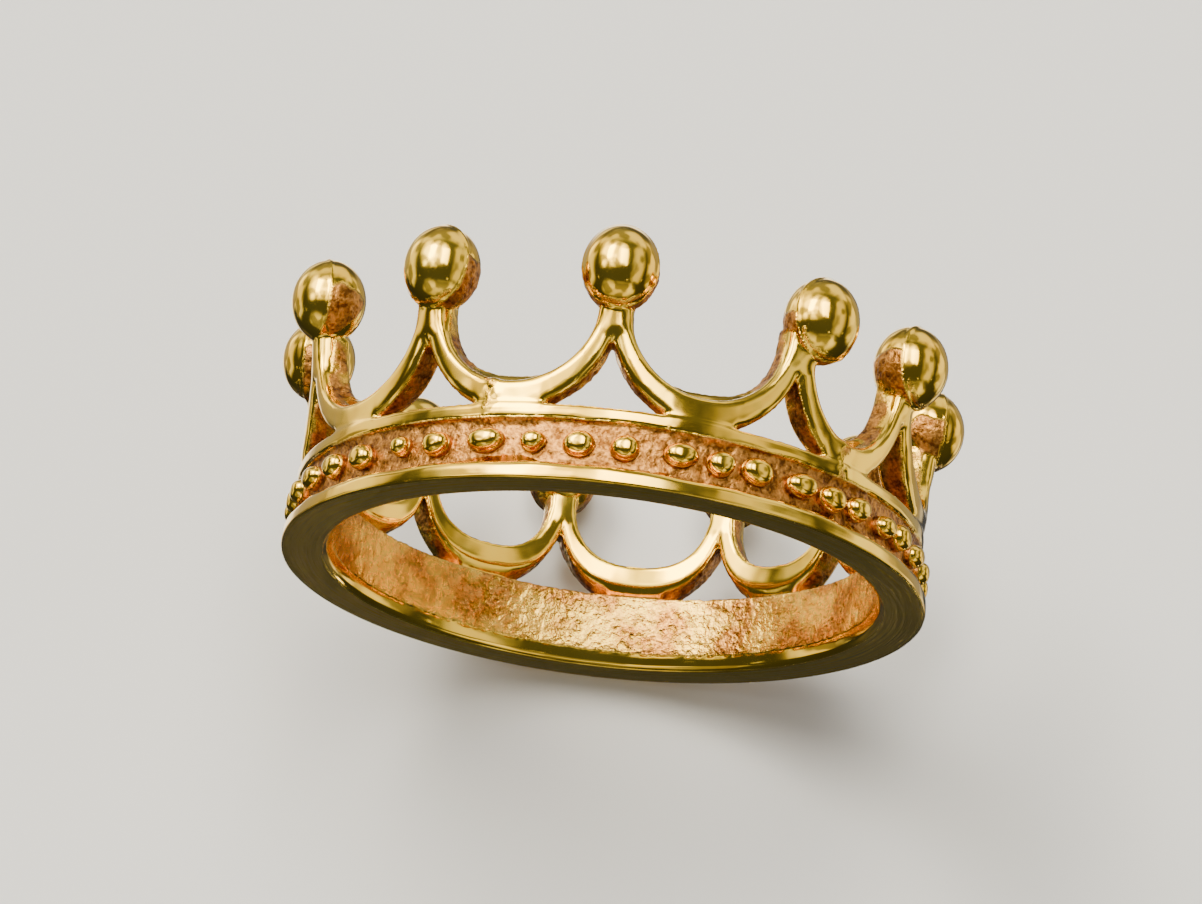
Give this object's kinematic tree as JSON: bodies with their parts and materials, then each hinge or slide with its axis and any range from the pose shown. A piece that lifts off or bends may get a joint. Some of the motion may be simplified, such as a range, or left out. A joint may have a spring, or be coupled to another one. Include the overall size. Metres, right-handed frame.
{
  "type": "finger ring",
  "caption": "Gold finger ring shaped as a small crown: a flat band with a beaded channel between polished rails, scallops that rise to points, and a ball on each point.",
  "frame": {"origin": "centre of the ring's flat base, at the bottom of its bounding box", "axes": "+Z along the ring's axis, from the flat base to the crown's points; -Y is the front"},
  "size_m": [0.0228, 0.0229, 0.0089],
  "materials": {
    "polished_gold": "mirror polished yellow gold, cast and hand finished",
    "recessed_gold": "rough as-cast copper-toned gold with polished grains"
  },
  "bodies": {
    "root": {"shank_sleeve": "polished_gold", "lower_rail": "polished_gold", "upper_rail": "polished_gold", "bead_strip_01": "recessed_gold", "bead_strip_02": "recessed_gold", "bead_strip_03": "recessed_gold", "bead_strip_04": "recessed_gold", "bead_strip_05": "recessed_gold", "bead_strip_06": "recessed_gold", "bead_strip_07": "recessed_gold", "bead_strip_08": "recessed_gold", "bead_strip_09": "recessed_gold", "bead_strip_10": "recessed_gold", "bead_strip_11": "recessed_gold", "crown_scallop_01": "polished_gold", "crown_scallop_02": "polished_gold", "crown_scallop_03": "polished_gold", "crown_scallop_04": "polished_gold", "crown_scallop_05": "polished_gold", "crown_scallop_06": "polished_gold", "crown_scallop_07": "polished_gold", "crown_scallop_08": "polished_gold", "crown_scallop_09": "polished_gold", "crown_scallop_10": "polished_gold", "crown_scallop_11": "polished_gold", "ball_finial_01": "polished_gold", "ball_finial_02": "polished_gold", "ball_finial_03": "polished_gold", "ball_finial_04": "polished_gold", "ball_finial_05": "polished_gold", "ball_finial_06": "polished_gold", "ball_finial_07": "polished_gold", "ball_finial_08": "polished_gold", "ball_finial_09": "polished_gold", "ball_finial_10": "polished_gold", "ball_finial_11": "polished_gold"}
  },
  "joints": []
}
